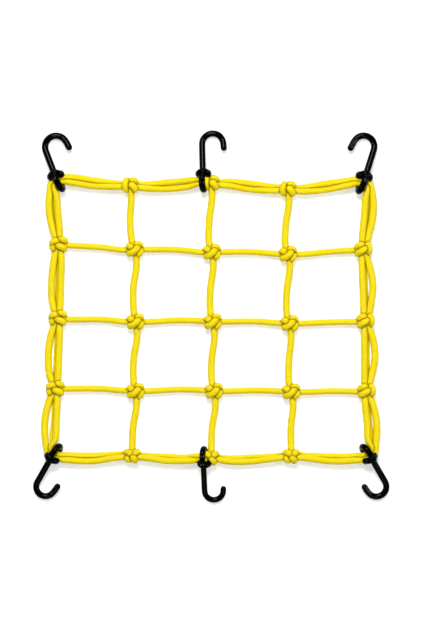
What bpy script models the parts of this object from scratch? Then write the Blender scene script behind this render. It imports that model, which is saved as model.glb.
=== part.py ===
"""Luggage net of elastic cord, knotted in a four by four mesh, with a wire hook at six places of its rim.

Metres, +Z up. The net lies flat on its knots with the top hooks towards +Y, and the origin is on the
surface that it lies on, under the middle of the whole. The tables and named sizes are in millimetres.
"""

import math

import bmesh
import bpy
from mathutils import Vector

MM = 0.001

# Cord. A bevelled curve has flat sides, so its corners stand a little outside the cord's own radius.
LINE_RADIUS = {"row": 2.85, "column": 3.3}
RIM_RADIUS = {"outer": 3.1, "inner": 3.0, "under": 2.9}
SIDE_SWELL = 1.12          # the cords of the left and right rim are slacker and so thicker
EIGHT_SIDES = 2            # bevel resolutions
SIX_SIDES = 1
EIGHT_SIDES_OUT = 1.05     # corner radius over cord radius
SIX_SIDES_OUT = 1.09
STEPS_PER_SPAN = 2         # straight pieces between two stations of a cord

# Heights over the surface
KNOT_HEIGHT = 6.8
SAG = 1.5                  # how far a cord hangs down half-way between two knots

# Knots, in cord diameters
KNOT_CORD = 5.8
LOBE_RADIUS = 0.5
LOBE_END = 0.65            # share of a lobe's thickness that is left at its rounded ends
LOBE_STEPS = 2
FACES_KEPT = 0.30          # share of the faces that stays where cords and lobes run into one another

# Hooks
EYE_HEIGHT = 8.95          # the middle of the eye over the surface
EYE_RISE = 6.0             # from the middle of the eye up to the wire that goes over the cords
EYE_SPREAD = 2.1           # from the middle of the eye to each of its two cords
EYE_CORD_RADIUS = 2.45     # the cords are squeezed where they go through the eye
EYE_STRAIGHT = 4.6         # how far the cords run straight on either side of the eye's middle
GAP = 0.55                 # between the cord and the wire
LYING_SHARE = 0.94         # height of a lying wire's middle over its radius, a little flat underneath

# Places of the knots, one row of the mesh to a line, from the top rim to the bottom rim. The four
# corners have no knot: there the rim goes through the eye of a corner hook.
GRID = (
    # left            column 1         column 2        column 3        right
    ((-147.5, 129.8), (-77.8, 126.0), (-0.4, 128.3), (73.4, 122.4), (145.9, 128.4)),
    ((-146.3, 69.2), (-73.4, 64.6), (0.6, 61.8), (73.7, 59.9), (146.0, 64.2)),
    ((-147.1, -1.5), (-72.7, -5.0), (1.5, -5.0), (75.3, -6.6), (148.0, -4.6)),
    ((-149.5, -69.2), (-72.8, -71.5), (2.6, -71.5), (76.8, -72.1), (149.0, -71.9)),
    ((-151.3, -131.5), (-76.0, -133.2), (-0.5, -135.0), (76.8, -133.6), (151.5, -132.0)),
)
LAST = len(GRID) - 1

# How far a single cord stands off the straight line between its two knots, near the first knot, at
# its belly and near the second knot. Rows run left to right, up is positive; columns run top to
# bottom, right is positive.
LINE_STATIONS = (0.15, 0.56, 0.87)
LINES = {
    # line:        span 0             span 1             span 2             span 3
    ("row", 1): ((0.0, 0.0, -1.1), (0.4, 1.2, -0.2), (0.6, 1.4, 0.1), (-0.7, 0.1, 0.2)),
    ("row", 2): ((-0.5, 0.8, -0.2), (0.0, 1.5, 0.8), (0.4, 1.3, 0.2), (-0.2, 0.2, 0.0)),
    ("row", 3): ((0.4, 1.3, 0.2), (0.1, 1.6, 0.9), (0.0, 1.1, 0.4), (-0.3, 0.6, 0.1)),
    ("column", 1): ((0.3, -2.6, -2.0), (1.5, -2.0, -1.4), (1.5, -1.9, -1.6), (1.6, -0.5, -0.3)),
    ("column", 2): ((1.0, -2.2, -2.3), (1.2, -2.1, -2.0), (1.4, -1.8, -1.7), (1.9, -0.1, 0.0)),
    ("column", 3): ((1.2, -2.1, -2.3), (1.4, -2.2, -2.3), (1.1, -1.6, -1.8), (1.7, -0.3, -0.2)),
}

# The rim is doubled. How far its outer and inner cord stand off the straight line between two knots
# at a fifth, half and four fifths of each span, away from the net positive. Top and bottom run left
# to right, left and right run top to bottom.
RIM_STATIONS = (0.2, 0.5, 0.8)
RIM = {
    # side:    span 0                span 1                span 2               span 3
    ("top", "outer"): ((4.8, 3.0, 1.4), (0.1, 1.0, 1.7), (2.7, 2.6, 1.1), (0.4, 2.3, 3.3)),
    ("top", "inner"): ((-0.5, -2.5, -2.1), (-3.5, -5.2, -4.0), (-1.2, -3.0, -2.7), (-3.5, -3.5, -1.3)),
    ("right", "outer"): ((9.2, 9.2, 4.8), (5.3, 8.2, 5.2), (6.3, 8.8, 4.8), (5.6, 8.6, 7.4)),
    ("right", "inner"): ((2.4, 0.9, -0.9), (-1.8, -1.5, -1.4), (-1.3, -1.3, -1.8), (-1.7, -0.7, 0.0)),
    ("bottom", "outer"): ((5.7, 6.3, 2.4), (1.8, 4.0, 3.2), (3.9, 4.6, 2.1), (2.5, 5.8, 5.6)),
    ("bottom", "inner"): ((1.1, 1.2, -0.3), (0.1, 0.2, 0.3), (1.4, 1.0, 0.4), (0.2, 1.5, 1.7)),
    ("left", "outer"): ((7.9, 8.5, 4.9), (4.4, 6.5, 5.5), (5.5, 8.2, 6.3), (5.9, 9.4, 8.2)),
    ("left", "inner"): ((1.4, 0.2, -1.1), (-2.7, -2.4, -2.0), (-2.1, -2.0, -2.0), (-2.1, -1.7, -0.8)),
}
RIM_IN_KNOT = 1.2          # how far the two cords stand from the knot's middle inside it
UNDER_SHIFT = 2.3          # the third cord of the sides lies under the inner one, this far outwards
UNDER_DROP = 4.3           # and this much lower
UNDER_END = 0.45           # it ends inside the inner cord, this share of the way to the corner
INNER_LIFT = 1.6           # what it lifts the inner cord by
RIM_APART = 5.6            # cords that lie closer than this ride up on one another
ON_TOP = {"top": "inner", "bottom": "outer"}
MIDDLE_SPAN = 1            # the middle hooks sit at the far end of this span

# Lobes of cord that show on a knot, from where each rises out of the knot to where it goes back in.
# x to the right, y up, z towards the viewer above, and the lobe's thickness, in cord diameters.
KNOTS = {
    "mesh": (
        # lobe            x, y, z points                                                          thickness
        ("upper left", ((-0.85, -0.05, -0.2), (-0.98, 0.55, 0.3), (-0.6, 0.35, 0.65),
                        (-0.2, 0.0, 0.3)), 1.06),
        ("upper right", ((0.1, 0.5, 0.1), (0.45, 0.88, 0.4), (0.88, 0.82, 0.3), (0.95, 0.3, -0.1)), 1.04),
        ("slant band", ((-0.75, -0.75, -0.4), (-0.88, -0.68, 0.25), (-0.3, -0.42, 0.82), (0.3, 0.1, 0.85),
                        (0.8, 0.55, 0.3)), 1.12),
        ("lower right", ((0.9, 0.15, 0.1), (0.97, -0.37, 0.38), (0.72, -0.78, 0.2),
                         (0.4, -0.8, -0.2)), 1.06),
    ),
    "top": (
        ("left band", ((-0.3, 0.9, -0.2), (-0.6, 0.85, 0.4), (-0.82, 0.05, 0.75), (-0.75, -0.7, 0.45),
                       (-0.4, -0.9, -0.1)), 1.02),
        ("upper right", ((0.05, 0.45, 0.2), (0.35, 0.88, 0.4), (0.8, 0.8, 0.3), (0.9, 0.3, -0.1)), 1.0),
        ("lower right", ((-0.05, 0.25, 0.3), (0.35, -0.05, 0.8), (0.8, -0.6, 0.55),
                         (0.75, -0.9, -0.1)), 1.15),
    ),
    "bottom": (
        ("upper left", ((-0.8, 0.0, -0.2), (-0.85, 0.6, 0.3), (-0.35, 0.4, 0.7), (0.1, -0.1, 0.3)), 1.08),
        ("upper right", ((0.8, 0.1, -0.2), (0.86, 0.61, 0.28), (0.45, 0.35, 0.65),
                         (0.0, -0.1, 0.3)), 1.08),
        ("lower left", ((-0.8, 0.0, 0.1), (-0.82, -0.5, 0.4), (-0.5, -0.75, 0.25),
                        (-0.2, -0.75, -0.1)), 1.05),
        ("lower right", ((0.0, 0.1, 0.4), (0.22, -0.35, 0.8), (0.48, -0.74, 0.45),
                         (0.4, -0.85, -0.2)), 1.15),
    ),
    "left": (
        ("upper left", ((-0.95, -0.2, 0.0), (-1.0, 0.35, 0.45), (-0.5, 0.6, 0.72),
                        (0.1, 0.35, 0.7)), 1.14),
        ("upper right", ((-0.1, 0.55, 0.5), (0.45, 0.85, 0.6), (0.98, 0.72, 0.35),
                         (1.0, 0.25, -0.1)), 1.04),
        ("lower left", ((-0.9, 0.12, 0.2), (-1.03, -0.4, 0.35), (-0.73, -0.82, -0.03)), 1.12),
        ("lower right", ((-0.4, 0.1, 0.4), (0.1, -0.22, 0.85), (0.82, -0.6, 0.62),
                         (0.92, -0.88, -0.1)), 1.15),
    ),
    "right": (
        ("upper left", ((-1.0, 0.05, -0.1), (-0.98, 0.6, 0.35), (-0.45, 0.82, 0.65), (0.2, 0.7, 0.5)), 1.04),
        ("right band", ((0.2, 0.75, 0.4), (0.85, 0.75, 0.5), (0.98, 0.1, 0.55), (0.75, -0.72, 0.05)), 1.14),
        ("slant band", ((-0.85, -0.75, -0.3), (-0.95, -0.65, 0.3), (-0.4, -0.25, 0.85), (0.25, 0.15, 0.8),
                        (0.7, 0.35, 0.5)), 1.1),
    ),
}
BACK_LOBES = (
    ("back band", ((-0.75, 0.5, 0.1), (-0.6, 0.45, -0.45), (0.0, 0.0, -0.75), (0.65, -0.5, -0.45),
                   (0.8, -0.5, 0.1)), 1.05),
    ("back left", ((-0.7, -0.2, 0.1), (-0.65, -0.6, -0.4), (0.0, -0.45, -0.5)), 1.0),
    ("back right", ((0.7, 0.2, 0.1), (0.65, 0.6, -0.4), (0.0, 0.45, -0.5)), 1.0),
)
CORE = (0.85, 0.85, 0.75)

# Hooks. The place is the middle of the eye, the heading is the way the shank points, in degrees from
# +X, and the mouth opens to its left (1) or right (-1).
HOOK_PLACES = (
    # name                 x       y       heading  mouth
    ("hook_top_left", -147.5, 129.8, 111.3, -1),
    ("hook_top_middle", -7.9, 129.6, 91.3, -1),
    ("hook_top_right", 145.9, 128.4, 72.1, 1),
    ("hook_bottom_left", -151.3, -131.5, -119.9, 1),
    ("hook_bottom_middle", -7.8, -135.3, -87.4, 1),
    ("hook_bottom_right", 151.5, -132.0, -59.6, -1),
)
# How each is bent: the wire's radius, the shank's length from the eye's middle, the bow's radius, the
# tip's length beyond the bow, and in degrees how far the tip turns out from the shank, how far the
# eye rolls about the shank with its lower wire towards the mouth, and how far its end swings that
# way. The last is how far the bend at the eye's end is from the eye's middle.
HOOK_BENDS = {
    # name               wire  shank  bow    tip  flare  roll  sway  end
    "hook_top_left": (3.2, 31.7, 10.7, 6.4, 7.5, 10.0, 5.0, 2.6),
    "hook_top_middle": (3.05, 36.1, 10.2, 4.7, 4.5, 12.0, 1.5, 1.8),
    "hook_top_right": (3.15, 33.9, 10.25, 7.6, 11.0, 11.0, 5.5, 3.0),
    "hook_bottom_left": (3.05, 31.6, 9.1, 6.9, 6.3, 16.0, 5.5, 3.2),
    "hook_bottom_middle": (2.8, 32.2, 9.0, 1.9, 4.3, 13.0, 3.9, 2.6),
    "hook_bottom_right": (3.05, 30.7, 9.6, 6.3, 4.6, 16.2, 5.5, 3.4),
}
ARCH_STEPS = 8
NECK = 8.2                 # how far the collar's middle usually is from the middle of the eye
WRAP_FROM = 4.2            # where the eye's lower wire turns up into the collar
WIRE_IN_WRAP = 0.5         # how far the wire goes on inside the collar, a little thinner
WIRE_IN_WRAP_SHARE = 0.88
# The wrapped end, from the eye's lower wire round the side and over the front of the neck to its back:
# places along the shank from the neck, share of its reach to the mouth's side, and up.
COLLAR = (
    # u     v     w
    (WRAP_FROM - NECK, 0.0, -EYE_RISE),
    (-1.2, 0.5, -5.0),
    (0.3, 1.0, -1.7),
    (-0.9, 1.0, 2.4),
    (0.7, 0.57, 4.7),
    (1.2, 0.0, 5.4),
    (0.7, -0.57, 4.7),
    (-0.9, -1.0, 2.4),
    (0.3, -1.0, -1.7),
    (-0.3, -0.5, -4.8),
)
# Each collar: its radius, how far it reaches to the mouth's side and to the other, how far it sits
# further along than its usual place, and how far its near and its far side lean back over the eye.
COLLARS = {
    # name             radius near  far  slip  leans
    "hook_top_left": (3.4, 5.3, 4.5, -0.9, 1.7, 0.3),
    "hook_top_middle": (3.3, 4.9, 3.7, 0.4, 0.4, 0.4),
    "hook_top_right": (3.4, 5.8, 4.1, -0.6, 1.6, 0.4),
    "hook_bottom_left": (3.0, 5.4, 4.4, -2.9, 0.6, 0.4),
    "hook_bottom_middle": (3.0, 4.7, 3.0, -1.9, 0.1, 0.1),
    "hook_bottom_right": (2.9, 6.1, 4.1, -3.5, 1.0, 0.3),
}
EYES = {name: Vector((x, y)) for name, x, y, *_ in HOOK_PLACES}
HEADINGS = {name: math.radians(heading) for name, x, y, heading, mouth in HOOK_PLACES}


def empty_scene():
    for thing in list(bpy.data.objects):
        bpy.data.objects.remove(thing)


def finish(name, colour, roughness, coat):
    """A Principled material."""
    material = bpy.data.materials.new(name)
    material.use_nodes = True
    shader = material.node_tree.nodes["Principled BSDF"]
    shader.inputs["Base Color"].default_value = (*colour, 1.0)
    shader.inputs["Roughness"].default_value = roughness
    shader.inputs["Coat Weight"].default_value = coat
    return material


def through(points, steps, closed=False):
    """A smooth line through the points, with some straight pieces between each two."""
    count = len(points)
    spans = count if closed else count - 1
    chord = [(points[(i + 1) % count] - points[i % count]).length for i in range(spans)]

    def slope(i):
        before, after = (i - 1) % spans, i % spans
        if not closed and i == 0:
            return (points[1] - points[0]) / chord[0]
        if not closed and i == count - 1:
            return (points[-1] - points[-2]) / chord[-1]
        come = (points[i % count] - points[(i - 1) % count]) / chord[before]
        go = (points[(i + 1) % count] - points[i % count]) / chord[after]
        return (come * chord[after] + go * chord[before]) / (chord[before] + chord[after])

    line = []
    for i in range(spans):
        start, end = points[i % count], points[(i + 1) % count]
        leave, arrive = slope(i) * chord[i], slope((i + 1) % count if closed else i + 1) * chord[i]
        for step in range(steps):
            t = step / steps
            line.append(start * (2 * t**3 - 3 * t**2 + 1) + leave * (t**3 - 2 * t**2 + t)
                        + end * (3 * t**2 - 2 * t**3) + arrive * (t**3 - t**2))
    return line if closed else line + [points[-1]]


def rod(name, points, radii, sides, closed=False, upright=True):
    """A round bar along the points, as a mesh object; the radii are in mm, one for each point."""
    curve = bpy.data.curves.new(name, "CURVE")
    curve.dimensions = "3D"
    curve.bevel_depth = MM
    curve.bevel_resolution = sides
    curve.render_resolution_u = 0
    curve.use_fill_caps = True
    curve.twist_mode = "Z_UP" if upright else "MINIMUM"
    spline = curve.splines.new("POLY")
    spline.points.add(len(points) - 1)
    spline.use_cyclic_u = closed
    flat_down = math.pi / 8 if sides == EIGHT_SIDES else 0.0
    for place, point, radius in zip(spline.points, points, radii):
        place.co = (*(point * MM), 1.0)
        place.radius = radius
        place.tilt = flat_down
    bar = bpy.data.objects.new(name, curve)
    bpy.context.collection.objects.link(bar)
    return applied(bar)


def applied(source):
    """The object as it looks with its bevel or modifiers, as a plain mesh in its place."""
    bpy.context.view_layer.update()
    mesh = bpy.data.meshes.new_from_object(source.evaluated_get(bpy.context.evaluated_depsgraph_get()))
    name = source.name
    bpy.data.objects.remove(source)
    solid = bpy.data.objects.new(name, mesh)
    bpy.context.collection.objects.link(solid)
    return solid


def combine(name, solids, operation="UNION", base=None):
    """Joins the solids into one, or cuts them out of the base."""
    base = base or solids[0]
    others = bpy.data.collections.new(name + " pieces")
    for solid in solids:
        if solid is not base:
            others.objects.link(solid)
    boolean = base.modifiers.new("combine", "BOOLEAN")
    boolean.operation = operation
    boolean.operand_type = "COLLECTION"
    boolean.collection = others
    boolean.solver = "EXACT"
    result = applied(base)
    for solid in list(others.objects):
        bpy.data.objects.remove(solid)
    bpy.data.collections.remove(others)
    keep_outer_skin(result.data)
    result.name = name
    return result


def keep_outer_skin(mesh):
    """Fills the closed pockets between crossed cords and drops stray folds: only the largest skin stays."""
    shape = bmesh.new()
    shape.from_mesh(mesh)
    unseen = set(shape.faces)
    skins = []
    for first in shape.faces:
        if first not in unseen:
            continue
        unseen.remove(first)
        reached = [first]
        skin = [first]
        while reached:
            for edge in reached.pop().edges:
                for face in edge.link_faces:
                    if face in unseen and len(edge.link_faces) == 2:
                        unseen.remove(face)
                        skin.append(face)
                        reached.append(face)
        skins.append(skin)
    skins.sort(key=len)
    inner = [face for skin in skins[:-1] for face in skin]
    bmesh.ops.delete(shape, geom=inner, context="FACES")
    shape.to_mesh(mesh)
    shape.free()


def in_triangles(solid):
    shape = bmesh.new()
    shape.from_mesh(solid.data)
    bmesh.ops.triangulate(shape, faces=shape.faces)
    shape.to_mesh(solid.data)
    shape.free()
    return solid


def place_of(row, column, height=KNOT_HEIGHT):
    return Vector((*GRID[row][column], height))


def line_route(kind, number):
    """Points of a single cord across the net, from rim knot to rim knot."""
    ends = [place_of(number, i) if kind == "row" else place_of(i, number) for i in range(LAST + 1)]
    route = [ends[0]]
    for start, end, offsets in zip(ends, ends[1:], LINES[kind, number]):
        along = (end - start).normalized()
        aside = Vector((-along.y, along.x, 0.0))
        for t, offset in zip(LINE_STATIONS, offsets):
            drop = Vector((0.0, 0.0, -4.0 * SAG * t * (1.0 - t)))
            route.append(start.lerp(end, t) + aside * offset + drop)
        route.append(end)
    return route


def eye_points(name, cord):
    """Where a rim cord goes straight through a hook's eye, from left to right."""
    heading = HEADINGS[name]
    shank = Vector((math.cos(heading), math.sin(heading), 0.0))
    across = Vector((shank.y, -shank.x, 0.0)) * math.copysign(1.0, shank.y)
    middle = Vector((*EYES[name], EYE_HEIGHT)) + shank * (EYE_SPREAD if cord == "outer" else -EYE_SPREAD)
    return [middle - across * EYE_STRAIGHT, middle, middle + across * EYE_STRAIGHT]


def rim_heights(side, cord, apart):
    """How much a rim cord stands over the middle of the rim, by how close its neighbour lies."""
    if cord == "under":
        return INNER_LIFT - UNDER_DROP
    if side in ("left", "right"):
        return INNER_LIFT if cord == "inner" else 0.0
    ride = math.sqrt(RIM_APART**2 - min(apart, RIM_APART) ** 2) / 2.0
    return ride if cord == ON_TOP[side] else -ride


def rim_side(side, cord):
    """Stations of one rim cord along one side, left to right or top to bottom, between its corners."""
    outward = Vector({"top": (0, 1, 0), "bottom": (0, -1, 0), "left": (-1, 0, 0), "right": (1, 0, 0)}[side])
    fixed = {"top": 0, "bottom": LAST, "left": 0, "right": LAST}[side]
    cells = [(fixed, i) if side in ("top", "bottom") else (i, fixed) for i in range(LAST + 1)]
    nodes = [place_of(*cell) for cell in cells]
    nodes[0].z = nodes[-1].z = EYE_HEIGHT
    middle_eye = {"top": "hook_top_middle", "bottom": "hook_bottom_middle"}.get(side)
    in_knot = {"outer": RIM_IN_KNOT, "inner": -RIM_IN_KNOT, "under": 0.0}[cord]
    route = []
    for span in range(LAST):
        start, end = nodes[span], nodes[span + 1]
        at_eye = middle_eye and span == MIDDLE_SPAN
        if at_eye:
            end = Vector((*EYES[middle_eye], EYE_HEIGHT))
        along = (end - start).normalized()
        aside = Vector((-along.y, along.x, 0.0))
        aside *= math.copysign(1.0, aside.dot(outward))
        for t, outer, inner in zip(RIM_STATIONS, RIM[side, "outer"][span], RIM[side, "inner"][span]):
            offset = {"outer": outer, "inner": inner, "under": inner + UNDER_SHIFT}[cord]
            rise = rim_heights(side, cord, outer - inner) - 4.0 * SAG * t * (1.0 - t)
            route.append(start.lerp(end, t) + aside * offset + Vector((0.0, 0.0, rise)))
        if at_eye:
            route += eye_points(middle_eye, cord)
        if span < LAST - 1:
            route.append(nodes[span + 1] + outward * in_knot)
    return route


def rim_route(cord):
    """The closed route of the outer or inner rim cord, clockwise from the top left corner."""
    return (
        eye_points("hook_top_left", cord) + rim_side("top", cord)
        + eye_points("hook_top_right", cord) + rim_side("right", cord)
        + eye_points("hook_bottom_right", cord)[::-1] + rim_side("bottom", cord)[::-1]
        + eye_points("hook_bottom_left", cord)[::-1] + rim_side("left", cord)[::-1]
    )


def rim_radii(cord, line):
    """Cord radii along the rim: thicker on the slack sides, squeezed at the eyes."""
    radii = []
    side_from, side_to = abs(GRID[1][0][0]) - KNOT_CORD, abs(GRID[0][1][1]) - KNOT_CORD
    for point in line:
        slack = abs(point.x) > side_from and abs(point.y) < side_to
        radius = RIM_RADIUS[cord] * (SIDE_SWELL if slack else 1.0)
        nearest = min((point.xy - eye).length for eye in EYES.values())
        squeeze = min(max((nearest - EYE_STRAIGHT) / KNOT_CORD, 0.0), 1.0)
        radii.append((EYE_CORD_RADIUS + (radius - EYE_CORD_RADIUS) * squeeze) * EIGHT_SIDES_OUT)
    return radii


def cords():
    """All the cords of the net, each its own bar through its knots."""
    bars = []
    for kind, number in LINES:
        line = through(line_route(kind, number), STEPS_PER_SPAN)
        radii = [LINE_RADIUS[kind] * EIGHT_SIDES_OUT] * len(line)
        bars.append(rod(f"{kind} {number}", line, radii, EIGHT_SIDES))
    for cord in ("outer", "inner"):
        line = through(rim_route(cord), STEPS_PER_SPAN, closed=True)
        bars.append(rod(f"rim {cord}", line, rim_radii(cord, line), EIGHT_SIDES, closed=True))
    for side in ("left", "right"):
        route = rim_side(side, "under")
        inner = rim_side(side, "inner")
        ends = (GRID[0][0], GRID[LAST][0]) if side == "left" else (GRID[0][LAST], GRID[LAST][LAST])
        for end, near, at in ((ends[0], inner[0], 0), (ends[1], inner[-1], len(route) + 1)):
            route.insert(at, near.lerp(Vector((*end, EYE_HEIGHT)), UNDER_END))
        line = through(route, STEPS_PER_SPAN)
        radii = [RIM_RADIUS["under"] * SIX_SIDES_OUT] * len(line)
        radii[0] = radii[-1] = RIM_RADIUS["under"] / 2.0
        bars.append(rod(f"rim under {side}", line, radii, SIX_SIDES))
    return bars


def knot(kind, middle):
    """One knot: a core with the lobes of cord that cross over its front and its back."""
    bpy.ops.mesh.primitive_ico_sphere_add(subdivisions=1, radius=KNOT_CORD * MM, location=middle * MM)
    core = bpy.context.object
    core.scale = CORE
    bpy.ops.object.transform_apply(location=True, rotation=False, scale=True)
    parts = [core]
    for name, points, thickness in KNOTS[kind] + BACK_LOBES:
        route = [middle + Vector(point) * KNOT_CORD for point in points]
        line = through(route, LOBE_STEPS)
        radii = [LOBE_RADIUS * KNOT_CORD * thickness * SIX_SIDES_OUT] * len(line)
        radii[0] *= LOBE_END
        radii[-1] *= LOBE_END
        parts.append(rod(f"{kind} {name}", line, radii, SIX_SIDES, upright=False))
    return combine(f"{kind} knot", parts)


def knot_kinds():
    """The row, column and kind of every knot; the four corners have none."""
    for row in range(LAST + 1):
        for column in range(LAST + 1):
            edge = "top" if row == 0 else "bottom" if row == LAST else None
            side = "left" if column == 0 else "right" if column == LAST else None
            if not (edge and side):
                yield row, column, edge or side or "mesh"


def hook_wire(name):
    """The hook's wire in its own frame: u along the shank, v towards the mouth, w up from the eye.
    Each place comes with its share of the wire's thickness, which shrinks at the rounded tip."""
    wire, shank, bow, tip, flare, roll, sway, eye_end = HOOK_BENDS[name]
    lying = wire * LYING_SHARE - EYE_HEIGHT
    neck_end = EYE_SPREAD + EYE_RISE + wire
    flat_from = shank + bow / 2.0

    def lowered(u, v):
        slope = min(max((u - neck_end) / (flat_from - neck_end), 0.0), 1.0)
        return Vector((u, v, lying * slope))

    def turned(middle, degrees):
        angle = math.radians(degrees)
        u, w = middle + EYE_RISE * math.cos(angle), EYE_RISE * math.sin(angle)
        return swayed(Vector((u, -w * math.tan(math.radians(roll)), w)), sway)

    end = math.radians(180.0 - flare)
    bend = Vector((shank + bow * math.sin(end), bow * (1.0 - math.cos(end))))
    point_way = Vector((math.cos(end), math.sin(end)))
    places = []
    for back, share in ((0.87, 0.5), (0.5, 0.87), (0.0, 1.0)):
        places.append((lowered(*(bend + point_way * (tip + back * wire))), share))
    for step in range(ARCH_STEPS + 1):
        angle = end * (1.0 - step / ARCH_STEPS)
        places.append((lowered(shank + bow * math.sin(angle), bow * (1.0 - math.cos(angle))), 1.0))
    places.append((lowered(neck_end, 0.0), 1.0))
    places += [(turned(EYE_SPREAD, degrees), 1.0) for degrees in (14.0, 40.0, 65.0, 90.0)]
    places += [(turned(-eye_end, degrees), 1.0) for degrees in range(90, 271, 30)]
    places.append((turned(EYE_SPREAD, 270.0), 1.0))
    places.append((turned(WRAP_FROM + WIRE_IN_WRAP, 270.0), WIRE_IN_WRAP_SHARE))
    return places


def swayed(point, sway):
    """A place of the eye after its end has swung towards the mouth about the neck."""
    angle = math.radians(sway) * min(max((NECK - point.x) / EYE_RISE, 0.0), 1.0)
    from_neck = Vector((point.x - NECK, point.y))
    u = NECK + from_neck.x * math.cos(angle) + from_neck.y * math.sin(angle)
    v = from_neck.y * math.cos(angle) - from_neck.x * math.sin(angle)
    return Vector((u, v, point.z))


def collar_wire(name):
    """The wrapped end in the hook's own frame, fused to the eye's lower wire, with its radii."""
    wire, shank, bow, tip, flare, roll, sway, eye_end = HOOK_BENDS[name]
    radius, near, far, slip, near_lean, far_lean = COLLARS[name]
    lower_shift = EYE_RISE * math.tan(math.radians(roll))
    places = []
    for i, (u, v, w) in enumerate(COLLAR):
        reach, lean = (near, near_lean) if v > 0.0 else (far, far_lean)
        along = NECK + u + (slip if i else 0.0) - lean * abs(v)
        start_shift = (lower_shift, lower_shift / 2.0)[i] if i < 2 else 0.0
        place = swayed(Vector((along, v * reach + start_shift, w)), sway)
        places.append((place, radius if i else wire))
    return places


def longer(points, extra):
    """The points with the first and the last one moved out by some length."""
    first = points[0] + (points[0] - points[1]).normalized() * extra
    last = points[-1] + (points[-1] - points[-2]).normalized() * extra
    return [first, *points[1:-1], last]


def hook_bars(name, x, y, heading, mouth, room=0.0):
    """A hook's bent wire and its collar, with some room round them."""
    ahead = Vector((math.cos(math.radians(heading)), math.sin(math.radians(heading)), 0.0))
    aside = Vector((-ahead.y, ahead.x, 0.0)) * mouth
    eye = Vector((x, y, EYE_HEIGHT))

    def placed(point):
        return eye + ahead * point.x + aside * point.y + Vector((0.0, 0.0, point.z))

    wire = HOOK_BENDS[name][0]
    places = hook_wire(name)
    radii = [(wire * share + room) * EIGHT_SIDES_OUT for _, share in places]
    line = longer([placed(point) for point, _ in places], room)
    bar = rod(name, line, radii, EIGHT_SIDES, upright=False)
    wrap = collar_wire(name)
    radii = [(radius + room) * EIGHT_SIDES_OUT for _, radius in wrap]
    line = longer([placed(point) for point, _ in wrap], room)
    collar = rod(name + " collar", line, radii, EIGHT_SIDES, upright=False)
    return [bar, collar]


def net():
    """The net: cords and knots fused into one, dented by the hooks and flat under each knot."""
    pieces = cords()
    for row, column, kind in knot_kinds():
        pieces.append(knot(kind, place_of(row, column)))
    crossed = in_triangles(combine("net", pieces))
    fewer = crossed.modifiers.new("fewer", "DECIMATE")
    fewer.ratio = FACES_KEPT
    whole = applied(crossed)
    dents = [bar for row in HOOK_PLACES for bar in hook_bars(*row, room=GAP)]
    return in_triangles(combine("net", [below_surface(), *dents], "DIFFERENCE", whole))


def below_surface():
    """The block under the surface, which cuts what touches it flat."""
    side = 2.0 * abs(GRID[0][0][0]) + 200.0
    bpy.ops.mesh.primitive_cube_add(size=side * MM, location=(0.0, 0.0, -side * MM / 2.0))
    return bpy.context.object


def main():
    empty_scene()
    pieces = [(net(), finish("yellow cord", (0.93, 0.8, 0.02), 0.55, 0.0))]
    for row in HOOK_PLACES:
        bent = combine(row[0], hook_bars(*row))
        lying = combine(row[0], [below_surface()], "DIFFERENCE", bent)
        pieces.append((lying, finish(f"{row[0]} black coat", (0.012, 0.012, 0.014), 0.22, 0.4)))
    for solid, material in pieces:
        solid.data.materials.clear()
        solid.data.materials.append(material)


if __name__ == "__main__":
    main()
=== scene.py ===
"""Luggage net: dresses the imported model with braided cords, wrapped knots and dipped wire hooks.

Metres, +Z up. The tables and named sizes are in millimetres, as in the part's own source.
"""

import math
from collections import namedtuple

import bpy
from bpy.props import FloatProperty, FloatVectorProperty, IntProperty, PointerProperty
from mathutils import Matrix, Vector, kdtree, noise


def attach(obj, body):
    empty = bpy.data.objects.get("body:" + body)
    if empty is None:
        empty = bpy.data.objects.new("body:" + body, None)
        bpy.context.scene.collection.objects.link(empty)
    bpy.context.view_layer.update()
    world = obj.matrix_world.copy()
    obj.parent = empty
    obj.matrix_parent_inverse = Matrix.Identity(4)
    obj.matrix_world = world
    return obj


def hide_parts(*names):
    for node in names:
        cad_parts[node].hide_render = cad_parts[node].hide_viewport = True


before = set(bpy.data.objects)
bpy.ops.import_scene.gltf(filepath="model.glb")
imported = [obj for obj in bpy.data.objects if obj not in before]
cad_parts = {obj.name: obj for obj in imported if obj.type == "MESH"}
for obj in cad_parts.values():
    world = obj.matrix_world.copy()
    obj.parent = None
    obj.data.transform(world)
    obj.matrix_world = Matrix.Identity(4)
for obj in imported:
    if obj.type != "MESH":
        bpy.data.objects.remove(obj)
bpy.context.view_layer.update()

bl_info = {
    "name": "Luggage net",
    "version": (1, 0, 0),
    "blender": (4, 5, 0),
    "location": "3D View > Sidebar > Luggage Net",
    "description": "Braided elastic cords, wrapped knots and dipped wire hooks of a luggage net",
    "category": "Object",
}

MM = 0.001

# Cords
LINE_RADIUS = {"row": 2.85, "column": 3.3}
RIM_RADIUS = {"outer": 3.1, "inner": 3.0, "under": 2.9}
SIDE_SWELL = 1.12          # how much thicker the rim is on its slack left and right side
KNOT_CORD = 5.8            # diameter of the cord in the knots
KNOT_HEIGHT = 6.8          # middle of a knot over the surface that the net lies on
SAG = 1.5                  # how much lower a cord hangs halfway between two knots

# Eyes of the hooks, and the cords in them
EYE_HEIGHT = 8.95          # middle of an eye over the surface
EYE_RISE = 6.0             # from there to the middle of the eye's wire, up and down
EYE_SPREAD = 2.1           # from there to the middle of either cord, along the shank
EYE_STRAIGHT = 4.6         # how far a cord goes straight on, to either side of an eye
EYE_CORD_RADIUS = 2.45     # of a cord that is squeezed in an eye
GAP = 0.35                 # between a cord and a wire

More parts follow.
